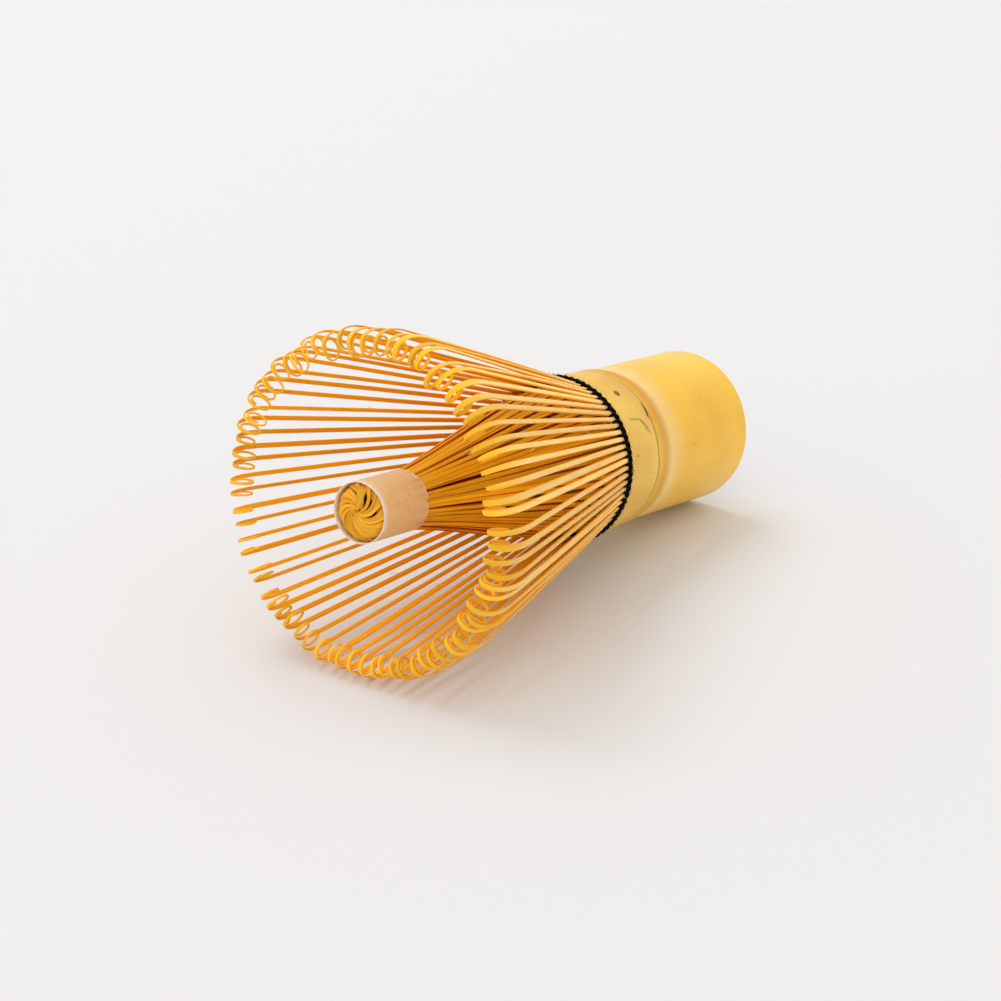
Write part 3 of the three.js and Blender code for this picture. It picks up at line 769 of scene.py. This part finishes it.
def thread_tree():
    """Two-ply thread woven round the roots: three rounds, a stitch in every gap, and loose fibres."""
    tree, given = geometry_tree("thread", {
        "Tines": TINES,
        "Steps": 936,
        "Plies": 2,
        "Rounds": 3,
        "Outer Radius": 14.5 * MM,
        "Inner Radius": 13.2 * MM,
        "Height": THREAD_HEIGHT,
        "Round Spacing": 0.42 * MM,
        "Ply Radius": 0.17 * MM,
        "Ply Offset": 0.13 * MM,
        "Twists": 95.0,
        "Weave": 0.09 * MM,
        "Stitch Radius": 0.25 * MM,
        "Fuzz Density": 3.5e6,
        "Seed": 3,
    })
    size = {socket.name: socket for socket in given}
    node = partial(add, tree)
    strands = node(TIMES, size["Plies"], size["Rounds"])
    points = node("GeometryNodePoints", node(TIMES, size["Steps"], strands))
    index = node("GeometryNodeInputIndex")
    turns = node(OVER, node(PLUS, index, 0.5), size["Steps"])
    strand = node(FLOOR, turns)
    ply = node(MODULO, strand, size["Plies"])
    lap = node(FLOOR, node(OVER, strand, size["Plies"]))
    angle = node(TIMES, node(OVER, index, size["Steps"]), 2 * math.pi)
    inner_lap = node(ABOVE, lap, 1.5)
    radius = node(MIX, inner_lap, size["Outer Radius"], size["Inner Radius"])
    wave = node(TIMES, angle, size["Tines"])
    phase = node(TIMES_PLUS, lap, math.pi, wave)
    over_under = node(TIMES, node(COSINE, phase), size["Weave"])
    radius = node(MINUS, radius, over_under)
    beside = node(MINUS, lap, 0.5)
    height = node(TIMES_PLUS, beside, size["Round Spacing"], size["Height"])
    height = node(TIMES_PLUS, node(SINE, phase), 0.05 * MM, height)
    height = node(TIMES_PLUS, inner_lap, -0.8 * MM, height)
    twist = node(TIMES_PLUS, angle, size["Twists"], node(TIMES, ply, math.pi))
    reach = node(TIMES_PLUS, node(COSINE, twist), size["Ply Offset"], radius)
    rise = node(TIMES_PLUS, node(SINE, twist), size["Ply Offset"], height)
    spot = node(COMBINE, node(TIMES, node(COSINE, angle), reach), node(TIMES, node(SINE, angle), reach),
                rise)
    points = node(STORE_VECTOR, points, None, "spot", spot)
    points = node("GeometryNodeSetPosition", points, named={"Position": node(RECALL_VECTOR, "spot")})
    rounds = node("GeometryNodePointsToCurves", points, named={"Curve Group ID": strand})
    rounds = node("GeometryNodeSetSplineCyclic", rounds, named={"Cyclic": True})
    rounds = node("GeometryNodeCurveToMesh", rounds, node("GeometryNodeCurvePrimitiveCircle",
                                                          named={"Resolution": 6,
                                                                 "Radius": size["Ply Radius"]}))

    # A stitch in every gap: out over the rounds, and back in between two strips above them.
    stitch = node("GeometryNodeCurvePrimitiveBezierSegment",
                  named={"Resolution": 7, "Start": (14.55 * MM, 0.0, -0.1 * MM),
                         "Start Handle": (14.85 * MM, 0.0, 0.6 * MM),
                         "End Handle": (14.75 * MM, 0.0, 1.0 * MM), "End": (14.3 * MM, 0.0, 1.45 * MM)})
    stitch = node("GeometryNodeCurveToMesh", stitch, node("GeometryNodeCurvePrimitiveCircle",
                                                          named={"Resolution": 6,
                                                                 "Radius": size["Stitch Radius"]}),
                  named={"Fill Caps": True})
    gaps = node("GeometryNodePoints", size["Tines"])
    turn = node(TIMES, node(OVER, index, size["Tines"]), 2 * math.pi)
    stray = node(DRAW_NUMBER, named={"Min": -0.008, "Max": 0.008, "Seed": size["Seed"]})
    turn = node(PLUS, turn, stray)
    stitches = node("GeometryNodeInstanceOnPoints", gaps, named={"Instance": stitch,
                                                                 "Rotation": node(COMBINE, 0.0, 0.0, turn)})
    stitches = node("GeometryNodeSetPosition", node("GeometryNodeRealizeInstances", stitches),
                    named={"Offset": node(COMBINE, 0.0, 0.0, size["Height"])})
    cord = node("GeometryNodeJoinGeometry")
    for part in (rounds, stitches):
        tree.links.new(part.outputs[0], cord.inputs[0])

    # Loose fibres standing off the thread.
    roots = node("GeometryNodeDistributePointsOnFaces", cord,
                 named={"Density": size["Fuzz Density"], "Seed": size["Seed"]})
    whim = node(DRAW_VECTOR, named={"Min": (-1.0, -1.0, -1.2), "Max": (1.0, 1.0, 0.4),
                                    "Seed": size["Seed"]})
    aim = node(V_PLUS, roots.outputs["Normal"], whim)
    aim = node("FunctionNodeAlignRotationToVector", named={"Vector": aim}, axis="Z")
    hair = node("GeometryNodeCurvePrimitiveBezierSegment", named={"Resolution": 3, "Start": (0.0, 0.0, 0.0),
                                                                  "Start Handle": (0.0, 0.0, 0.15 * MM),
                                                                  "End Handle": (0.1 * MM, 0.0, 0.3 * MM),
                                                                  "End": (0.25 * MM, 0.05 * MM, 0.4 * MM)})
    hair = node("GeometryNodeCurveToMesh", hair, node("GeometryNodeCurvePrimitiveCircle",
                                                      named={"Resolution": 3, "Radius": 0.014 * MM}))
    fuzz = node("GeometryNodeInstanceOnPoints", roots, named={"Instance": hair, "Rotation": aim})
    finish_tree(tree, [cord, fuzz], size["Material"])
    return tree


# ---------------------------------------------------------------------------
# Culm and sleeve
# ---------------------------------------------------------------------------

def arc(centre_r, centre_z, radius, start, end, steps, zone):
    """Points of an arc in the (radius, height) plane, from one angle to another in degrees."""
    angles = [(start + (end - start) * k / steps) * DEGREE for k in range(steps + 1)]
    return [(centre_r + radius * math.cos(a), centre_z + radius * math.sin(a), zone) for a in angles]


def culm_outline():
    """The culm's section: from the diaphragm's middle down the bore, up the outside and into the neck."""
    skin, cut = 0.0, 1.0
    edge, bore_edge, bore, hollow = 0.9 * MM, 0.5 * MM, 10.4 * MM, 11.9 * MM
    under, over = 27.6 * MM, 30.2 * MM
    inside = [(0.0, under, cut)] + [(bore * k / 4, under, cut) for k in range(1, 4)]
    inside += arc(bore - 1.0 * MM, under - 1.0 * MM, 1.0 * MM, 90, 0, 4, cut)
    inside += [(bore, under - 1.0 * MM - k * 4.2 * MM, cut) for k in range(1, 6)]
    inside += arc(bore + bore_edge, bore_edge, bore_edge, 180, 270, 4, cut)
    inside += [(bore + bore_edge + k * 0.5 * MM, 0.0, cut) for k in range(1, 4)]
    foot = arc(CULM_RADIUS - edge, edge, edge, -90, 0, 8, skin)
    foot[0] = (*foot[0][:2], cut)
    outside = []
    steps = 96
    for k in range(1, steps):
        height = edge + (NECK_TOP - edge) * k / steps
        # The skin is drawn in below the node, swells into its ring, dips at the scar and swells again.
        drawn_in = -0.22 * MM * math.exp(-((height - 25.8 * MM) / (2.2 * MM)) ** 2)
        ring = 0.36 * MM * math.exp(-((height - RING_HEIGHT) / (1.0 * MM)) ** 2)
        scar = -0.12 * MM * math.exp(-((height - SCAR_HEIGHT) / (0.35 * MM)) ** 2)
        swell = (NECK_RADIUS - CULM_RADIUS) / (1 + math.exp(-(height - 31.2 * MM) / (0.8 * MM)))
        outside.append((CULM_RADIUS + drawn_in + ring + scar + swell, height, skin))
    lip = arc(NECK_RADIUS - 0.3 * MM, NECK_TOP - 0.3 * MM, 0.3 * MM, 0, 90, 3, cut)
    neck = [(hollow + 0.8 * MM, NECK_TOP, cut), (hollow, NECK_TOP - 0.2 * MM, cut)]
    neck += [(hollow, NECK_TOP - k * 1.5 * MM, cut) for k in range(1, 6)]
    floor = [(hollow * k / 4, over, cut) for k in (3, 2, 1)] + [(0.0, over, cut)]
    return inside + foot + outside + lip + neck + floor


def culm_shift(spot):
    """Nothing grown is round: the culm is a little oval, and the node's ring wanders."""
    around = Vector((spot.x, spot.y, 0))
    if around.length < 1 * MM:
        return spot
    out = around.normalized()
    broad = noise.noise(Vector((out.x * 0.9, out.y * 0.9, spot.z * 25))) * 0.16 * MM
    near_node = math.exp(-((spot.z - 29 * MM) / (2.2 * MM)) ** 2)
    uneven = noise.noise(Vector((out.x * 3.1, out.y * 3.1, spot.z * 180 + 5))) * 0.14 * MM * near_node
    wander = noise.noise(Vector((out.x * 1.7, out.y * 1.7, 11))) * 0.5 * MM * near_node
    return spot + out * (broad + uneven) * min(1, around.length / (9 * MM)) + Vector((0, 0, wander))


def sleeve_outline():
    """A thin tube with slightly rolled ends."""
    wall = SLEEVE_WALL
    outer, inner = SLEEVE_RADIUS, SLEEVE_RADIUS - wall
    steps = 16
    heights = [SLEEVE_START + wall / 2 + (SLEEVE_END - SLEEVE_START - wall) * k / steps
               for k in range(steps + 1)]
    outline = [(outer, height, 0.0) for height in heights[1:-1]]
    outline += arc(outer - wall / 2, heights[-1], wall / 2, 0, 180, 6, 0.0)
    outline += [(inner, height, 0.0) for height in heights[-2:0:-1]]
    outline += arc(outer - wall / 2, heights[0], wall / 2, 180, 360, 6, 0.0)
    return outline


def sleeve_shift(spot):
    """The film is not quite round, its cut ends wave a little, and the lower end has a nick."""
    turn = math.atan2(spot.y, spot.x)
    along = (spot.z - SLEEVE_START) / (SLEEVE_END - SLEEVE_START)
    squeeze = 0.045 * MM * math.cos(2 * turn + 0.6) * (0.4 + 0.6 * along)
    wave = 0.12 * MM * noise.noise(Vector((math.cos(turn) * 1.5, math.sin(turn) * 1.5, 3))) * (2 * along - 1)
    nick_turn = 12 * DEGREE
    off = math.remainder(turn - nick_turn, 2 * math.pi) / (4 * DEGREE)
    nick = 0.45 * MM * math.exp(-off * off) * max(0, 1 - along * 10)
    out = Vector((spot.x, spot.y, 0)).normalized()
    return spot + out * squeeze + Vector((0, 0, wave + nick)) + BUNDLE_SHIFT


# ---------------------------------------------------------------------------
# The whisk
# ---------------------------------------------------------------------------

outer = grow("outer_tines", outer_tine_tree(), OUTER_BAMBOO)
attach(outer, "whisk")
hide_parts(*[f"outer_tines_{k:02d}" for k in range(1, 25)])

inner = grow("inner_tines", inner_tine_tree(), INNER_BAMBOO)
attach(inner, "whisk")
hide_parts(*[f"inner_tines_{k:02d}" for k in range(1, 25)])

thread = grow("thread", thread_tree(), cotton())
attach(thread, "whisk")
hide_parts("thread_outer_round", "thread_inner_round")

culm = lathe("culm", culm_outline(), 168, culm_bamboo(), culm_shift, closed=False)
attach(culm, "whisk")
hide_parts("handle")

sleeve = lathe("tip_sleeve_film", sleeve_outline(), 96, film(), sleeve_shift, closed=True)
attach(sleeve, "sleeve")
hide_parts("tip_sleeve")


# ---------------------------------------------------------------------------
# Floor, light and camera
# ---------------------------------------------------------------------------

def stage():
    """A pale paper floor, a bright surround, a broad light behind to the left and a weak one in front."""
    mesh = bpy.data.meshes.new("floor")
    reach = 4.0
    mesh.from_pydata([(-reach, -reach, 0), (reach, -reach, 0), (reach, reach, 0), (-reach, reach, 0)], [],
                     [(0, 1, 2, 3)])
    mesh.materials.append(seamless_paper())
    floor = bpy.data.objects.new("floor", mesh)
    scene.collection.objects.link(floor)

    world = bpy.data.worlds.new("studio")
    world.use_nodes = True
    scene.world = world
    background = world.node_tree.nodes["Background"]
    background.inputs["Color"].default_value = colour("#FFF8EE")
    background.inputs["Strength"].default_value = 0.93

    lamps = (("key", (-0.45, -1.7, 2.7), 1.8, 38.0), ("fill", (2.4, 1.6, 2.2), 2.2, 13.0))
    for name, spot, width, power in lamps:
        light = bpy.data.lights.new(name, "AREA")
        light.size = width
        light.energy = power
        light.color = colour("#E2EEFF")[:3]
        lamp = bpy.data.objects.new(name, light)
        lamp.location = spot
        lamp.rotation_euler = (-Vector(spot)).to_track_quat("-Z", "Y").to_euler()
        scene.collection.objects.link(lamp)
    scene.view_settings.view_transform = "Standard"


def camera():
    """A 100 mm lens 46 cm away, at the rim's side of the whisk and a little above it."""
    azimuth, elevation, distance = 125.83 * DEGREE, 22.68 * DEGREE, 461.9 * MM
    target = Vector((13.5, 3.12, 20.0)) * MM
    away = Vector((math.sin(azimuth) * math.cos(elevation), -math.cos(azimuth) * math.cos(elevation),
                   math.sin(elevation)))
    lens = bpy.data.cameras.new("camera")
    lens.lens = 100
    lens.sensor_width = 36
    lens.clip_start = 0.01
    eye = bpy.data.objects.new("camera", lens)
    eye.location = target + away * distance
    eye.rotation_euler = (-away).to_track_quat("-Z", "Y").to_euler()
    scene.collection.objects.link(eye)
    scene.camera = eye


stage()
camera()
